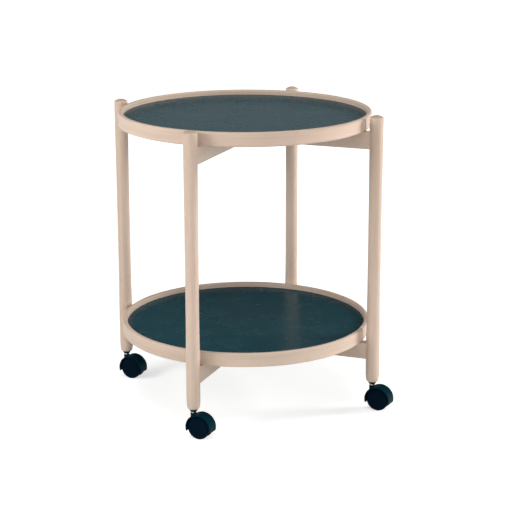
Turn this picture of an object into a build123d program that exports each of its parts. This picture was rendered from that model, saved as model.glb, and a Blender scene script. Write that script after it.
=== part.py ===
from build123d import *
import os
from math import cos, radians, sin

# Round serving trolley: two trays on a folding wooden frame that runs on swivel casters.
# Millimetres, +Z up, origin on the floor under the middle of the trays.

# Trays
tray_diameter = 500.0  # outside of the rim
rim_height = 27.6
rim_wall = 9.0
rim_edge_radius = 3.0
core_thickness = 6.0
groove_depth = 3.0  # how far the core reaches into the rim
laminate_thickness = 1.0

# Wooden frame
lower_seat_height = 137.6  # floor to the bars that carry the lower tray
tray_spacing = 424.2  # lower seat to upper seat
leg_diameter = 26.8
rim_gap = 8.1  # tray rim to leg
leg_waist_diameter = 25.4
leg_waist_rise = 72.0  # lower rim up to the narrowest place
leg_top_rise = 5.3  # crown of the leg above the upper rim
leg_top_crown = 4.5
leg_top_radius = 2.5
leg_foot_diameter = 22.6  # before its edge is rounded
leg_foot_length = 18.0
leg_foot_radius = 4.0
bar_depth = 33.4
bar_thickness = 18.0
bar_edge_radius = 1.5
dowel_diameter = 8.0
dowel_length = 28.0
dowel_pitch = 17.0
hole_end_gap = 0.5  # beyond the end of a dowel, stem or socket in its hole
glue_gap = 0.1  # all round in glued and pressed joints

# Fold pivots, where the bars cross
fold_angle = 70.0
fold_spare_angle = 1.0  # the laps are cut this much beyond the fold
fold_clearance = 0.15  # lap wall to the other bar
fold_bar_drop = 0.3  # folding bars run clear under the trays
pivot_diameter = 8.0
pivot_head_diameter = 18.0
pivot_head_height = 4.0
lap_washer_diameter = 16.0
lap_washer_thickness = 1.0
pivot_washer_diameter = 20.0
pivot_washer_thickness = 1.6
nut_across_flats = 13.0
nut_height = 6.5
nut_bevel = 0.8
pivot_end_length = 1.5  # bolt beyond the nut
running_clearance = 0.05  # round moving fits
slip_gap = 0.1  # flat moving fits

# Casters
wheel_diameter = 45.0
wheel_edge_radius = 3.0
wheel_back_radius = 1.2
wheel_dome = 1.0
wheel_hub_radius = 6.5
wheel_tread_wall = 3.5
wheel_disc_wall = 3.2
wheel_side_gap = 0.5
wheel_recess = 0.5  # wheel face inside the hood's edge
hood_gap = 1.8  # wheel tread to hood
hood_wall = 2.2
hood_width = 27.0
hood_edge_radius = 1.2
hood_web = 9.0  # plate between the two wheels
hood_hub_radius = 8.0
hood_rear_drop_angle = 14.5  # the hood ends below the axle's level
hood_front_drop_angle = 17.5
axle_diameter = 5.0
axle_end_wall = 2.0
caster_trail = 15.0  # stem to axle
caster_trail_angle = -50.0  # all four trail the same way at rest
neck_diameter = 12.0
neck_drop = 0.6  # crown of the hood above the end of the neck
stem_diameter = 8.0
stem_pin_diameter = 6.0
stem_pin_length = 16.0
stem_length_in_socket = 33.0
stem_tip_bevel = 1.5
ring_width = 1.5
ring_depth = 0.8
ring_from_tip = 6.0
pin_gap = 3.0  # bare steel between neck and collar
collar_height = 5.4
collar_diameter = 16.0
collar_end_diameter = 11.0
socket_diameter = 11.2
socket_end_wall = 2.0

# Worked out from the sizes above
tray_radius = tray_diameter / 2
leg_radius = leg_diameter / 2
leg_circle_radius = tray_radius + rim_gap + leg_radius
upper_seat_height = lower_seat_height + tray_spacing
leg_top = upper_seat_height + rim_height + leg_top_rise
dowel_hole_radius = dowel_diameter / 2 + glue_gap
dowel_hole_depth = dowel_length / 2 + hole_end_gap
lap_gap = lap_washer_thickness + slip_gap
wheel_radius = wheel_diameter / 2
hood_inner_radius = wheel_radius + hood_gap
hood_radius = hood_inner_radius + hood_wall
neck_top = wheel_radius + hood_radius - neck_drop
collar_bottom = neck_top + pin_gap
leg_bottom = collar_bottom + collar_height
stem_tip = collar_bottom + stem_length_in_socket
socket_top = stem_tip + hole_end_gap + socket_end_wall
wheel_face = hood_width / 2 - wheel_recess
axle_bore_end = wheel_face - axle_end_wall

seats = {"upper": upper_seat_height, "lower": lower_seat_height}
main_angle = -45.0
cross_angle = main_angle - 90
leg_angles = {
    "front_right": main_angle,
    "rear_left": main_angle + 180,
    "front_left": cross_angle,
    "rear_right": cross_angle + 180,
}
fold_legs = ("front_left", "rear_right")

os.makedirs("parts", exist_ok=True)


def save(piece, name):
    """Label a finished piece and write it to its own file."""
    piece.part.label = name
    export_step(piece.part, f"parts/{name}.step")


def compass(angle):
    """Level unit vector at an angle in degrees from +X."""
    return Vector(cos(radians(angle)), sin(radians(angle)), 0)


def raised(point, height):
    """The same point at a given height above the floor."""
    return Vector(point.X, point.Y, height)


def upright_plane(origin, direction):
    """Plane whose x runs level along direction and whose y is up."""
    return Plane(origin, x_dir=direction, z_dir=direction.cross(Vector(0, 0, 1)))


def seat_of(level, folds):
    """Height of a bar's seat. The folding bars sit a little lower."""
    return seats[level] - (fold_bar_drop if folds else 0)


def bar_name(level, folds):
    """First words of the name of a bar and of its dowels."""
    return f"{level}_fold" if folds else f"{level}_main"


def dowel_circles(angle, seat, radius):
    """Two circles, one above the other, where a bar meets a leg."""
    outward = compass(angle)
    middle = raised(outward * (leg_circle_radius - leg_radius), seat - bar_depth / 2)
    with BuildSketch(Plane(middle, x_dir=(0, 0, 1), z_dir=outward)) as circles:
        with GridLocations(dowel_pitch, 0, 2, 1):
            Circle(radius)
    return circles.sketch


# Legs and cross bars
def make_leg(corner):
    """Turned leg with a slight waist and a drawn-in foot, bored for its joints."""
    angle = leg_angles[corner]
    axis_foot = compass(angle) * leg_circle_radius
    waist_low = lower_seat_height + rim_height
    waist_high = upper_seat_height - bar_depth
    waist = (leg_waist_diameter / 2, waist_low + leg_waist_rise)
    foot_edge = (leg_foot_diameter / 2, leg_bottom)
    foot_top = (leg_radius, leg_bottom + leg_foot_length)
    top_middle = (0, leg_top)
    top_edge = (leg_radius, leg_top - leg_top_crown)
    with BuildPart() as leg:
        with BuildSketch(upright_plane(axis_foot, compass(angle))):
            with BuildLine():
                TangentArc(top_middle, top_edge, tangent=(1, 0))
                Line(top_edge, (leg_radius, waist_high))
                TangentArc(waist, (leg_radius, waist_high), tangent=(0, 1))
                TangentArc(waist, (leg_radius, waist_low), tangent=(0, -1))
                Line((leg_radius, waist_low), foot_top)
                TangentArc(foot_top, foot_edge, tangent=(0, -1))
                Polyline(foot_edge, (0, leg_bottom), top_middle)
            make_face()
        revolve(axis=Axis(axis_foot, (0, 0, 1)))
        for end, radius in ((0, leg_foot_radius), (-1, leg_top_radius)):
            rings = leg.edges().filter_by(lambda edge: edge.is_closed).sort_by(Axis.Z)
            fillet(rings[end], radius)
        with BuildSketch(Plane(raised(axis_foot, leg_bottom))):
            Circle(socket_diameter / 2 + glue_gap)
        extrude(amount=socket_top + hole_end_gap - leg_bottom, mode=Mode.SUBTRACT)
        for level in seats:
            holes = dowel_circles(angle, seat_of(level, corner in fold_legs), dowel_hole_radius)
            extrude(holes, amount=dowel_hole_depth, both=True, mode=Mode.SUBTRACT)
    save(leg, f"{corner}_leg")


def make_bar(level, folds):
    """Bar between opposite legs, with a lap in the middle where it crosses the other bar."""
    angle = cross_angle if folds else main_angle
    along = compass(angle)
    seat = seat_of(level, folds)
    underside = Plane((0, 0, seat - bar_depth), x_dir=along, z_dir=(0, 0, 1))
    lap_height = bar_depth / 2 + lap_gap / 2
    lap_top = seats[level] - (lap_height if folds else bar_depth - lap_height)
    lap_turn = fold_angle + fold_spare_angle
    lap_width = bar_thickness + 2 * fold_clearance
    lap_length = (bar_thickness + lap_width) / cos(radians(lap_turn))
    with BuildPart() as bar:
        with BuildSketch(underside):
            Rectangle(2 * leg_circle_radius, bar_thickness)
        extrude(amount=bar_depth)
        fillet(bar.edges().filter_by(Axis((0, 0, 0), along)), bar_edge_radius)
        with BuildSketch(underside):
            with GridLocations(2 * leg_circle_radius, 0, 2, 1):
                Circle(leg_radius + glue_gap)
        extrude(amount=bar_depth, mode=Mode.SUBTRACT)
        for end_angle in (angle, angle + 180):
            holes = dowel_circles(end_angle, seat, dowel_hole_radius)
            extrude(holes, amount=dowel_hole_depth, both=True, mode=Mode.SUBTRACT)
        with BuildSketch(Plane((0, 0, lap_top), x_dir=along, z_dir=(0, 0, 1))):
            Rectangle(lap_length, lap_width, rotation=90)
            Rectangle(lap_length, lap_width, rotation=90 - lap_turn if folds else 90 + lap_turn)
        extrude(amount=bar_depth if folds else -bar_depth, mode=Mode.SUBTRACT)
        with BuildSketch(underside):
            Circle(pivot_diameter / 2 + running_clearance)
        extrude(amount=bar_depth, mode=Mode.SUBTRACT)
    save(bar, f"{bar_name(level, folds)}_bar")


def make_dowels(level, folds):
    """The four dowels that tie one bar to its two legs."""
    angle = cross_angle if folds else main_angle
    with BuildPart() as dowels:
        for end_angle in (angle, angle + 180):
            circles = dowel_circles(end_angle, seat_of(level, folds), dowel_diameter / 2)
            extrude(circles, amount=dowel_length / 2, both=True)
    save(dowels, f"{bar_name(level, folds)}_dowels")


# Fold pivots
def make_washer(name, top, thickness, diameter):
    """Flat washer round the fold pivot."""
    with BuildPart() as washer:
        with BuildSketch(Plane((0, 0, top))):
            Circle(diameter / 2)
            Circle(pivot_diameter / 2 + glue_gap, mode=Mode.SUBTRACT)
        extrude(amount=-thickness)
    save(washer, name)


def make_pivot(level):
    """Domed bolt down through both bars, its washers and its nut."""
    seat = seats[level]
    lap_washer_top = seat - bar_depth / 2 + lap_gap / 2
    washer_top = seat_of(level, True) - bar_depth - slip_gap
    nut_top = washer_top - pivot_washer_thickness
    nut_bottom = nut_top - nut_height
    shank_radius = pivot_diameter / 2
    shank_end = nut_bottom - pivot_end_length
    head_edge = (pivot_head_diameter / 2, seat)
    head_crown = (0, seat + pivot_head_height)
    with BuildPart() as bolt:
        with BuildSketch(Plane.XZ):
            with BuildLine():
                TangentArc(head_crown, head_edge, tangent=(1, 0))
                Polyline(
                    head_edge,
                    (shank_radius, seat),
                    (shank_radius, shank_end),
                    (0, shank_end),
                    head_crown,
                )
            make_face()
        revolve(axis=Axis.Z)
    save(bolt, f"{level}_pivot_bolt")

    make_washer(f"{level}_lap_washer", lap_washer_top, lap_washer_thickness, lap_washer_diameter)
    make_washer(f"{level}_pivot_washer", washer_top, pivot_washer_thickness, pivot_washer_diameter)

    with BuildPart() as nut:
        with BuildSketch(Plane((0, 0, nut_top))):
            RegularPolygon(nut_across_flats / 2, 6, major_radius=False)
        extrude(amount=-nut_height)
        chamfer(nut.faces().sort_by(Axis.Z)[0].edges(), nut_bevel)
        with BuildSketch(Plane((0, 0, nut_top))):
            Circle(shank_radius + glue_gap)
        extrude(amount=-nut_height, mode=Mode.SUBTRACT)
    save(nut, f"{level}_pivot_nut")


# Trays
def make_disc(name, bottom, thickness, radius):
    """Round flat sheet of a tray."""
    with BuildPart() as disc:
        with BuildSketch(Plane((0, 0, bottom))):
            Circle(radius)
        extrude(amount=thickness)
    save(disc, name)


def make_tray(level):
    """Bent rim grooved round a core board that is faced on both sides."""
    middle = seats[level] + rim_height / 2
    inner_radius = tray_radius - rim_wall
    with BuildPart() as rim:
        with BuildSketch(Plane.XZ):
            with Locations((tray_radius - rim_wall / 2, middle)):
                RectangleRounded(rim_wall, rim_height, rim_edge_radius)
            with Locations((inner_radius, middle)):
                Rectangle(2 * groove_depth, core_thickness, mode=Mode.SUBTRACT)
        revolve(axis=Axis.Z)
    save(rim, f"{level}_tray_rim")

    core_bottom = middle - core_thickness / 2
    core_top = middle + core_thickness / 2
    facing_radius = inner_radius - glue_gap
    facing = (laminate_thickness, facing_radius)
    make_disc(f"{level}_tray_core", core_bottom, core_thickness, facing_radius + groove_depth)
    make_disc(f"{level}_tray_top_laminate", core_top, *facing)
    make_disc(f"{level}_tray_under_laminate", core_bottom - laminate_thickness, *facing)


# Casters
def make_socket(corner):
    """Sleeve in the end of the leg, with the dark collar that shows below it."""
    axis_foot = compass(leg_angles[corner]) * leg_circle_radius
    bore = stem_diameter / 2 + running_clearance
    sleeve = socket_diameter / 2
    collar_edge = (collar_diameter / 2, leg_bottom)
    collar_end = (collar_end_diameter / 2, collar_bottom)
    with BuildPart() as socket:
        with BuildSketch(upright_plane(axis_foot, compass(caster_trail_angle))):
            with BuildLine():
                TangentArc(collar_edge, collar_end, tangent=(0, -1))
                Polyline(
                    collar_end,
                    (bore, collar_bottom),
                    (bore, socket_top - socket_end_wall),
                    (0, socket_top - socket_end_wall),
                    (0, socket_top),
                    (sleeve, socket_top),
                    (sleeve, leg_bottom),
                    collar_edge,
                )
            make_face()
        revolve(axis=Axis(axis_foot, (0, 0, 1)))
    save(socket, f"{corner}_caster_socket")


def make_stem(corner):
    """Steel swivel stem and the snap ring that holds it in the socket."""
    axis_foot = compass(leg_angles[corner]) * leg_circle_radius
    stem_radius = stem_diameter / 2
    pin_radius = stem_pin_diameter / 2
    groove_radius = stem_radius - ring_depth
    ring_top = stem_tip - ring_from_tip
    with BuildPart() as stem:
        with BuildSketch(upright_plane(axis_foot, compass(caster_trail_angle))):
            with BuildLine():
                Polyline(
                    (0, neck_top - stem_pin_length),
                    (pin_radius, neck_top - stem_pin_length),
                    (pin_radius, neck_top),
                    (stem_radius, neck_top),
                    (stem_radius, ring_top - ring_width),
                    (groove_radius, ring_top - ring_width),
                    (groove_radius, ring_top),
                    (stem_radius, ring_top),
                    (stem_radius, stem_tip - stem_tip_bevel),
                    (stem_radius - stem_tip_bevel, stem_tip),
                    (0, stem_tip),
                    close=True,
                )
            make_face()
        revolve(axis=Axis(axis_foot, (0, 0, 1)))
    save(stem, f"{corner}_caster_stem")

    with BuildPart() as ring:
        with BuildSketch(Plane(raised(axis_foot, ring_top - slip_gap / 2))):
            Circle(stem_radius)
            Circle(groove_radius + glue_gap, mode=Mode.SUBTRACT)
        extrude(amount=slip_gap - ring_width)
    save(ring, f"{corner}_caster_ring")


def make_hood(corner):
    """Moulded hood over both wheels, with the web that holds the axle and the stem."""
    axis_foot = compass(leg_angles[corner]) * leg_circle_radius
    axle = raised(axis_foot + compass(caster_trail_angle) * caster_trail, wheel_radius)
    side = upright_plane(axle, compass(caster_trail_angle))
    hood_arc = 180 + hood_rear_drop_angle + hood_front_drop_angle
    half_web = hood_web / 2
    with BuildPart() as hood:
        with BuildSketch(side):
            with BuildLine():
                crown = CenterArc((0, 0), hood_radius, -hood_rear_drop_angle, hood_arc)
                Polyline(crown @ 1, (0, 0), crown @ 0)
            make_face()
        extrude(amount=hood_width / 2, both=True)
        fillet(hood.edges().filter_by(GeomType.CIRCLE), hood_edge_radius)
        with BuildSketch(Plane(raised(axis_foot, wheel_radius))):
            Circle(neck_diameter / 2)
        extrude(amount=neck_top - wheel_radius)
        for direction in (1, -1):
            with BuildSketch(side.offset(direction * half_web)):
                Circle(hood_inner_radius)
            extrude(amount=direction * hood_width / 2, mode=Mode.SUBTRACT)
        with BuildSketch(side):
            Circle(hood_hub_radius)
        extrude(amount=half_web, both=True)
        with BuildSketch(side):
            Circle(axle_diameter / 2 + glue_gap)
        extrude(amount=half_web, both=True, mode=Mode.SUBTRACT)
        with BuildSketch(Plane(raised(axis_foot, neck_top))):
            Circle(stem_pin_diameter / 2 + glue_gap)
        extrude(amount=-stem_pin_length - hole_end_gap, mode=Mode.SUBTRACT)
    save(hood, f"{corner}_caster_hood")

    with BuildPart() as pin:
        with BuildSketch(side):
            Circle(axle_diameter / 2)
        extrude(amount=axle_bore_end - slip_gap, both=True)
    save(pin, f"{corner}_caster_axle")


def make_wheel(corner, name, outward):
    """Cup-shaped wheel with a slightly domed face, which turns on the end of the axle."""
    axis_foot = compass(leg_angles[corner]) * leg_circle_radius
    axle = raised(axis_foot + compass(caster_trail_angle) * caster_trail, wheel_radius)
    bore = axle_diameter / 2 + running_clearance
    inner_face = hood_web / 2 + wheel_side_gap
    rim_face = wheel_face - wheel_dome
    disc_back = rim_face - wheel_disc_wall
    tread_inside = wheel_radius - wheel_tread_wall
    edge_height = wheel_radius - wheel_edge_radius
    back_height = wheel_radius - wheel_back_radius
    tread_outer = (rim_face - wheel_edge_radius, wheel_radius)
    tread_inner = (inner_face + wheel_back_radius, wheel_radius)
    with BuildPart() as wheel:
        with BuildSketch(upright_plane(axle, outward)):
            with BuildLine():
                TangentArc((wheel_face, 0), (rim_face, edge_height), tangent=(0, 1))
                TangentArc(tread_outer, (rim_face, edge_height), tangent=(1, 0))
                Line(tread_outer, tread_inner)
                TangentArc(tread_inner, (inner_face, back_height), tangent=(-1, 0))
                Polyline(
                    (inner_face, back_height),
                    (inner_face, tread_inside),
                    (disc_back, tread_inside),
                    (disc_back, wheel_hub_radius),
                    (inner_face, wheel_hub_radius),
                    (inner_face, bore),
                    (axle_bore_end, bore),
                    (axle_bore_end, 0),
                    (wheel_face, 0),
                )
            make_face()
        revolve(axis=Axis(axle, outward))
    save(wheel, f"{corner}_caster_{name}")


for corner in leg_angles:
    make_leg(corner)
    make_socket(corner)
    make_stem(corner)
    make_hood(corner)
    make_wheel(corner, "left_wheel", compass(caster_trail_angle - 90))
    make_wheel(corner, "right_wheel", compass(caster_trail_angle + 90))

for level in seats:
    make_tray(level)
    make_pivot(level)
    for folds in (False, True):
        make_bar(level, folds)
        make_dowels(level, folds)
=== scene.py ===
import bpy
from math import cos, radians, sin
from mathutils import Matrix, Vector


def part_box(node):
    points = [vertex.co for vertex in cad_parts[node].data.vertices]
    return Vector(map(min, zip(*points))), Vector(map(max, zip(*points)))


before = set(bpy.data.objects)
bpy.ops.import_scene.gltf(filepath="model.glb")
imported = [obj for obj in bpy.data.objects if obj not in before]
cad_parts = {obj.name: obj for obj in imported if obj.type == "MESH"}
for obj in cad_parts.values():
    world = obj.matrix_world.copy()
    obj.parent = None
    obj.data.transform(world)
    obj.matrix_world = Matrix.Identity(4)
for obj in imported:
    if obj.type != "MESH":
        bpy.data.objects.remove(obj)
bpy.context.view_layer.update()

# Camera of the photograph, in metres and degrees
CAMERA_PLACE = Vector((-1.2396, -2.8715, 1.1292))
CAMERA_HEADING = 66.3  # from +X, towards +Y
CAMERA_PITCH = -14.99
CAMERA_ROLL = -0.12
CAMERA_LENS = 113.05
CAMERA_SENSOR = 36.0
CAMERA_REACH = 200.0

# Studio, with headings in degrees from the camera's side of the trolley towards the right of the picture,
# and fades by the sine of the angle above the horizon
FLOOR_HALF_SIZE = 60.0
FLOOR_COLOUR = (0.80, 0.795, 0.785, 1)
GLOW_NEAR = 0.60  # part of the floor's white that is its own, by the trolley
GLOW_FAR = 1.0
GLOW_RISES = (0.7, 2.5)  # metres from the trolley
AIM = Vector((0, 0, 0.33))
SKY_FRONT = 1.104
SKY_FRONT_HEADING = -45.0
SKY_FRONT_SPREAD = (0.3, 0.9)  # cosine of the angle from that heading
SKY_FRONT_FADES = (0.2, 0.4)
ROOM_LOW = 0.288
ROOM_HIGH = 0.012
ROOM_FADES = (0.17, 0.26)
BACKDROP_FADES = (0.10, 0.14)
WHITE = (1, 1, 1, 1)

# Where the pieces repeat, and how the bars and their grain run, in degrees from +X
CORNERS = ("front_right", "rear_left", "front_left", "rear_right")
LEVELS = ("upper", "lower")
MAIN_BAR_HEADING = -45.0
FOLD_BAR_HEADING = 45.0


# Node helpers
class Nodes:
    """Short way to write a material's node tree."""

    def __init__(self, tree):
        self.tree = tree
        self.tree.nodes.clear()

    def add(self, kind, settings=None, **inputs):
        """A node with its settings, and its inputs set or linked by name."""
        node = self.tree.nodes.new(kind)
        for key, value in (settings or {}).items():
            setattr(node, key, value)
        for key, value in inputs.items():
            self.feed(node, key.replace("_", " "), value)
        return node

    def feed(self, node, key, value):
        """Link a socket to an input, or set the input's value."""
        socket = node.inputs[int(key)] if key.isdigit() else node.inputs[key]
        if isinstance(value, bpy.types.NodeSocket):
            self.tree.links.new(value, socket)
        else:
            socket.default_value = value

    def math(self, operation, first, second=0.0):
        """Output of a math node."""
        node = self.add("ShaderNodeMath", {"operation": operation})
        self.feed(node, "0", first)
        self.feed(node, "1", second)
        return node.outputs["Value"]

    def ramp(self, factor, low, high, start=0.0, end=1.0):
        """Output between start and end as the factor goes from low to high, smoothly."""
        node = self.add("ShaderNodeMapRange", {"interpolation_type": "SMOOTHSTEP"}, Value=factor)
        for key, value in (("From Min", low), ("From Max", high), ("To Min", start), ("To Max", end)):
            node.inputs[key].default_value = value
        return node.outputs["Result"]

    def noise(self, vector, scale, detail=3.0, roughness=0.5):
        """Grey output of a noise texture."""
        node = self.add("ShaderNodeTexNoise", Vector=vector, Scale=scale, Detail=detail, Roughness=roughness)
        return node.outputs["Fac"]

    def stretch(self, vector, scale):
        """Vector scaled on each axis."""
        node = self.add("ShaderNodeVectorMath", {"operation": "MULTIPLY"})
        self.feed(node, "0", vector)
        node.inputs[1].default_value = scale
        return node.outputs["Vector"]

    def mix(self, factor, first, second):
        """Colour between two colours."""
        node = self.add("ShaderNodeMix", {"data_type": "RGBA"})
        self.feed(node, "0", factor)
        self.feed(node, "6", first)
        self.feed(node, "7", second)
        return node.outputs[2]

    def shown(self, path):
        """1 for a ray that shows the background to the camera, directly or in a piece."""
        seen = self.math("MAXIMUM", path["Is Camera Ray"], path["Is Glossy Ray"])
        return self.math("MAXIMUM", seen, path["Is Transmission Ray"])

    def finish(self, shader):
        """Connect the shader to the material's output."""
        output = self.add("ShaderNodeOutputMaterial")
        self.tree.links.new(shader, output.inputs["Surface"])


def new_material(name):
    material = bpy.data.materials.new(name)
    material.use_nodes = True
    return material, Nodes(material.node_tree)


# Materials
BEECH_PALE = (0.68, 0.535, 0.435, 1)
BEECH_MID = (0.60, 0.462, 0.367, 1)
BEECH_LINE = (0.50, 0.365, 0.278, 1)
BEECH_FLECK = (0.41, 0.280, 0.200, 1)
BEECH_END = (0.42, 0.305, 0.230, 1)
BEECH_ROSE = (0.70, 0.515, 0.415, 1)
BEECH_STRAW = (0.60, 0.490, 0.375, 1)


def beech(name, grain, upright=False):
    """Pale lacquered beech. grain(nodes, position) gives a vector whose x runs along the fibres.

    An upright piece shows end grain, which takes the lacquer darker, where it faces up or down.
    """
    material, n = new_material(name)
    position = n.add("ShaderNodeTexCoord").outputs["Object"]
    fibre = grain(n, position)
    drift = n.noise(n.stretch(fibre, (3.0, 22.0, 22.0)), 1.0, 2.0)
    bands = n.noise(n.stretch(fibre, (2.5, 150.0, 150.0)), 1.0, 2.0)
    rings = n.noise(n.stretch(fibre, (7.0, 420.0, 420.0)), 1.0, 4.0, 0.6)
    fibres = n.noise(n.stretch(fibre, (60.0, 2600.0, 2600.0)), 1.0, 3.0, 0.6)
    flecks = n.noise(n.stretch(fibre, (420.0, 2300.0, 2300.0)), 1.0, 0.0)
    tone = n.mix(n.ramp(drift, 0.35, 0.65), BEECH_PALE, BEECH_MID)
    tone = n.mix(n.ramp(bands, 0.52, 0.70, 0.0, 0.7), tone, BEECH_ROSE)
    tone = n.mix(n.ramp(bands, 0.48, 0.30, 0.0, 0.7), tone, BEECH_STRAW)
    tone = n.mix(n.ramp(rings, 0.52, 0.72, 0.0, 0.45), tone, BEECH_LINE)
    tone = n.mix(n.ramp(fibres, 0.55, 0.75, 0.0, 0.25), tone, BEECH_LINE)
    tone = n.mix(n.ramp(flecks, 0.68, 0.76, 0.0, 0.55), tone, BEECH_FLECK)
    if upright:
        facing = n.add("ShaderNodeTexCoord").outputs["Normal"]
        slope = n.math("ABSOLUTE", n.add("ShaderNodeSeparateXYZ", Vector=facing).outputs["Z"])
        tone = n.mix(n.ramp(slope, 0.35, 0.95, 0.0, 0.6), tone, BEECH_END)
    bump = n.add("ShaderNodeBump", Height=fibres, Strength=0.25, Distance=0.00008)
    shader = n.add(
        "ShaderNodeBsdfPrincipled",
        Base_Color=tone,
        Roughness=n.ramp(rings, 0.3, 0.7, 0.44, 0.56),
        Normal=bump.outputs["Normal"],
    )
    shader.inputs["Specular IOR Level"].default_value = 0.4
    n.finish(shader.outputs["BSDF"])
    return material


def upright_grain(n, position):
    """Fibres run up."""
    parts = n.add("ShaderNodeSeparateXYZ", Vector=position).outputs
    return n.add("ShaderNodeCombineXYZ", X=parts["Z"], Y=parts["X"], Z=parts["Y"]).outputs["Vector"]


def level_grain(heading):
    """Fibres run level along a heading."""

    def grain(n, position):
        about_z = {"rotation_type": "Z_AXIS"}
        turn = n.add("ShaderNodeVectorRotate", about_z, Vector=position, Angle=-radians(heading))
        return turn.outputs["Vector"]

    return grain


def round_grain(radius):
    """Fibres run round the rim. The two ends of the bent strip meet at the back."""

    def grain(n, position):
        parts = n.add("ShaderNodeSeparateXYZ", Vector=position).outputs
        turn = n.math("ARCTAN2", parts["X"], n.math("MULTIPLY", parts["Y"], -1.0))
        squares = [n.math("POWER", parts[axis], 2.0) for axis in ("X", "Y")]
        away = n.math("SQRT", n.math("ADD", *squares))
        around = n.math("MULTIPLY", turn, radius)
        return n.add("ShaderNodeCombineXYZ", X=around, Y=away, Z=parts["Z"]).outputs["Vector"]

    return grain


LAMINATE_GLOSS = 0.06
LAMINATE_DARK = (0.0108, 0.0560, 0.0720, 1)
LAMINATE_LIGHT = (0.0138, 0.0615, 0.0785, 1)
LAMINATE_GRIT = (0.03, 0.08, 0.10, 1)


def laminate(name):
    """Smooth matt laminate, dark blue-green slate."""
    material, n = new_material(name)
    position = n.add("ShaderNodeTexCoord").outputs["Object"]
    clouds = n.noise(position, 14.0, 4.0, 0.55)
    grit = n.noise(position, 900.0, 2.0, 0.6)
    tone = n.mix(n.ramp(clouds, 0.3, 0.7), LAMINATE_DARK, LAMINATE_LIGHT)
    tone = n.mix(n.ramp(grit, 0.5, 0.7, 0.0, 0.08), tone, LAMINATE_GRIT)
    bump = n.add("ShaderNodeBump", Height=grit, Strength=0.05, Distance=0.00002)
    shader = n.add(
        "ShaderNodeBsdfPrincipled",
        Base_Color=tone,
        Roughness=n.ramp(clouds, 0.3, 0.7, 0.24, 0.29),
        Normal=bump.outputs["Normal"],
    )
    shader.inputs["Specular IOR Level"].default_value = LAMINATE_GLOSS
    n.finish(shader.outputs["BSDF"])
    return material


PLY_PALE = (0.42, 0.29, 0.18, 1)
PLY_DARK = (0.26, 0.16, 0.09, 1)


def plywood(name):
    """Raw board edge and core."""
    material, n = new_material(name)
    position = n.add("ShaderNodeTexCoord").outputs["Object"]
    plies = n.noise(n.stretch(position, (30.0, 30.0, 1100.0)), 1.0, 2.0)
    tone = n.mix(n.ramp(plies, 0.4, 0.6), PLY_PALE, PLY_DARK)
    shader = n.add("ShaderNodeBsdfPrincipled", Base_Color=tone, Roughness=0.75)
    n.finish(shader.outputs["BSDF"])
    return material


PLASTIC_GLOSS = 0.02
HOOD_DARK = (0.0010, 0.0170, 0.0240, 1)
HOOD_LIGHT = (0.0014, 0.0210, 0.0290, 1)
HOOD_ROUGHNESS = 0.40
WHEEL_DARK = (0.0003, 0.0060, 0.0140, 1)
WHEEL_LIGHT = (0.0005, 0.0072, 0.0160, 1)
WHEEL_ROUGHNESS = 0.46


def moulded_plastic(name, dark, light, roughness):
    """Satin moulded plastic with a fine spark-eroded grain."""
    material, n = new_material(name)
    position = n.add("ShaderNodeTexCoord").outputs["Object"]
    clouds = n.noise(position, 90.0, 3.0)
    grit = n.noise(position, 2600.0, 2.0)
    tone = n.mix(n.ramp(clouds, 0.3, 0.7), dark, light)
    bump = n.add("ShaderNodeBump", Height=grit, Strength=0.2, Distance=0.00005)
    shader = n.add(
        "ShaderNodeBsdfPrincipled",
        Base_Color=tone,
        Roughness=n.ramp(clouds, 0.3, 0.7, roughness - 0.04, roughness + 0.04),
        Normal=bump.outputs["Normal"],
    )
    shader.inputs["Specular IOR Level"].default_value = PLASTIC_GLOSS
    n.finish(shader.outputs["BSDF"])
    return material


ZINC_LIGHT = (0.66, 0.66, 0.65, 1)
ZINC_DARK = (0.52, 0.52, 0.50, 1)


def zinc_steel(name):
    """Bright zinc-plated steel with turning marks."""
    material, n = new_material(name)
    position = n.add("ShaderNodeTexCoord").outputs["Object"]
    marks = n.noise(n.stretch(position, (60.0, 60.0, 5200.0)), 1.0, 2.0)
    tone = n.mix(n.ramp(marks, 0.3, 0.7), ZINC_LIGHT, ZINC_DARK)
    shader = n.add(
        "ShaderNodeBsdfPrincipled",
        Base_Color=tone,
        Metallic=1.0,
        Roughness=n.ramp(marks, 0.3, 0.7, 0.24, 0.36),
    )
    n.finish(shader.outputs["BSDF"])
    return material


NYLON_LIGHT = (0.70, 0.69, 0.64, 1)
NYLON_DARK = (0.62, 0.61, 0.56, 1)


def nylon(name):
    """Natural nylon."""
    material, n = new_material(name)
    position = n.add("ShaderNodeTexCoord").outputs["Object"]
    clouds = n.noise(position, 300.0)
    tone = n.mix(clouds, NYLON_LIGHT, NYLON_DARK)
    shader = n.add("ShaderNodeBsdfPrincipled", Base_Color=tone, Roughness=0.45)
    n.finish(shader.outputs["BSDF"])
    return material


def dress(node, material):
    """Give a carried-over node its material."""
    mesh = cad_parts[node].data
    mesh.materials.clear()
    mesh.materials.append(material)


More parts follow.
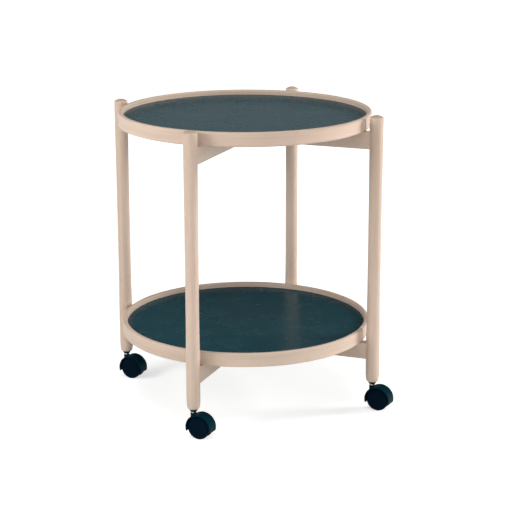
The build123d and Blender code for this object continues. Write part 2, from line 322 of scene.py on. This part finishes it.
def dress_all():
    tray_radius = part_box("upper_tray_rim")[1].x
    leg_wood = beech("beech_upright", upright_grain, upright=True)
    bar_woods = {
        "main": beech("beech_main_bars", level_grain(MAIN_BAR_HEADING)),
        "fold": beech("beech_fold_bars", level_grain(FOLD_BAR_HEADING)),
    }
    rim_wood = beech("beech_rims", round_grain(tray_radius))
    slate = laminate("slate_laminate")
    board = plywood("core_board")
    steel = zinc_steel("zinc_steel")
    hood_black = moulded_plastic("hood_black", HOOD_DARK, HOOD_LIGHT, HOOD_ROUGHNESS)
    wheel_black = moulded_plastic("wheel_black", WHEEL_DARK, WHEEL_LIGHT, WHEEL_ROUGHNESS)
    white_nylon = nylon("natural_nylon")
    for corner in CORNERS:
        dress(f"{corner}_leg", leg_wood)
        dress(f"{corner}_caster_socket", hood_black)
        dress(f"{corner}_caster_hood", hood_black)
        for name in ("stem", "ring", "axle"):
            dress(f"{corner}_caster_{name}", steel)
        for side in ("left", "right"):
            dress(f"{corner}_caster_{side}_wheel", wheel_black)
    for level in LEVELS:
        for bar, wood in bar_woods.items():
            dress(f"{level}_{bar}_bar", wood)
            dress(f"{level}_{bar}_dowels", wood)
        for name in ("bolt", "washer", "nut"):
            dress(f"{level}_pivot_{name}", steel)
        dress(f"{level}_lap_washer", white_nylon)
        dress(f"{level}_tray_rim", rim_wood)
        dress(f"{level}_tray_core", board)
        dress(f"{level}_tray_top_laminate", slate)
        dress(f"{level}_tray_under_laminate", slate)


# Studio
def level_direction(heading):
    return Vector((cos(radians(heading)), sin(radians(heading)), 0))


def make_camera():
    data = bpy.data.cameras.new("photo_camera")
    data.lens = CAMERA_LENS
    data.sensor_width = CAMERA_SENSOR
    data.clip_end = CAMERA_REACH
    camera = bpy.data.objects.new("photo_camera", data)
    bpy.context.scene.collection.objects.link(camera)
    pitch = radians(CAMERA_PITCH)
    look = level_direction(CAMERA_HEADING) * cos(pitch) + Vector((0, 0, sin(pitch)))
    turn = look.to_track_quat("-Z", "Y").to_matrix().to_4x4()
    roll = Matrix.Rotation(radians(CAMERA_ROLL), 4, "Z")
    camera.matrix_world = Matrix.Translation(CAMERA_PLACE) @ turn @ roll
    bpy.context.scene.camera = camera


def make_floor():
    """Pale floor that looks white to the camera and keeps the shadow."""
    mesh = bpy.data.meshes.new("floor")
    s = FLOOR_HALF_SIZE
    mesh.from_pydata([(-s, -s, 0), (s, -s, 0), (s, s, 0), (-s, s, 0)], [], [(0, 1, 2, 3)])
    floor = bpy.data.objects.new("floor", mesh)
    bpy.context.scene.collection.objects.link(floor)
    material, n = new_material("floor")
    seen = n.shown(n.add("ShaderNodeLightPath").outputs)
    position = n.add("ShaderNodeTexCoord").outputs["Object"]
    away = n.add("ShaderNodeVectorMath", {"operation": "LENGTH"}, Vector=position).outputs["Value"]
    share = n.ramp(away, *GLOW_RISES, GLOW_NEAR, GLOW_FAR)
    matt = n.add("ShaderNodeBsdfDiffuse", Color=FLOOR_COLOUR)
    glow = n.add("ShaderNodeEmission", Strength=n.math("MULTIPLY", seen, share))
    both = n.add("ShaderNodeAddShader")
    n.feed(both, "0", matt.outputs["BSDF"])
    n.feed(both, "1", glow.outputs["Emission"])
    n.finish(both.outputs["Shader"])
    mesh.materials.append(material)


def make_sky():
    """Low soft light from the front left, a dark room that the trays reflect, and a low white backdrop."""
    world = bpy.data.worlds.new("studio")
    world.use_nodes = True
    n = Nodes(world.node_tree)
    direction = n.add("ShaderNodeTexCoord").outputs["Generated"]
    height = n.add("ShaderNodeSeparateXYZ", Vector=direction).outputs["Z"]
    towards = n.add("ShaderNodeVectorMath", {"operation": "DOT_PRODUCT"})
    n.feed(towards, "0", direction)
    towards.inputs[1].default_value = level_direction(CAMERA_HEADING + 180 + SKY_FRONT_HEADING)
    room = n.ramp(height, *ROOM_FADES, ROOM_LOW, ROOM_HIGH)
    share = n.ramp(towards.outputs["Value"], *SKY_FRONT_SPREAD)
    front = n.math("MULTIPLY", share, n.ramp(height, *SKY_FRONT_FADES, SKY_FRONT, 0.0))
    path = n.add("ShaderNodeLightPath").outputs
    front = n.math("MULTIPLY", front, n.math("SUBTRACT", 1.0, path["Is Glossy Ray"]))
    backdrop = n.math("MULTIPLY", n.shown(path), n.ramp(height, *BACKDROP_FADES, 1.0, 0.0))
    strength = n.math("MAXIMUM", n.math("ADD", room, front), backdrop)
    sky = n.add("ShaderNodeBackground", Color=WHITE, Strength=strength)
    output = n.add("ShaderNodeOutputWorld")
    n.tree.links.new(sky.outputs["Background"], output.inputs["Surface"])
    bpy.context.scene.world = world


def softbox(name, heading, elevation, distance, size, power):
    """Square lamp at a heading, elevation and distance, aimed at the trolley. Metres and watts."""
    data = bpy.data.lights.new(name, "AREA")
    data.size = size
    data.energy = power
    lamp = bpy.data.objects.new(name, data)
    lamp.visible_camera = False
    lamp.visible_glossy = False
    bpy.context.scene.collection.objects.link(lamp)
    rise = radians(elevation)
    away = level_direction(CAMERA_HEADING + 180 + heading) * cos(rise) + Vector((0, 0, sin(rise)))
    place = AIM + away * distance
    turn = (-away).to_track_quat("-Z", "Y").to_matrix().to_4x4()
    lamp.matrix_world = Matrix.Translation(place) @ turn


def make_lights():
    """A small lamp at the left, two at the right and a large one overhead."""
    softbox("side_left", -60.0, 24.0, 1.7, 0.7, 13.5)
    softbox("front_right", 45.0, 8.0, 3.3, 1.6, 24.0)
    softbox("back_right", 101.0, 17.0, 3.3, 1.2, 92.0)
    softbox("overhead", 0.0, 72.0, 3.0, 2.5, 46.0)


dress_all()
make_camera()
make_floor()
make_sky()
make_lights()
bpy.context.scene.view_settings.view_transform = "Standard"
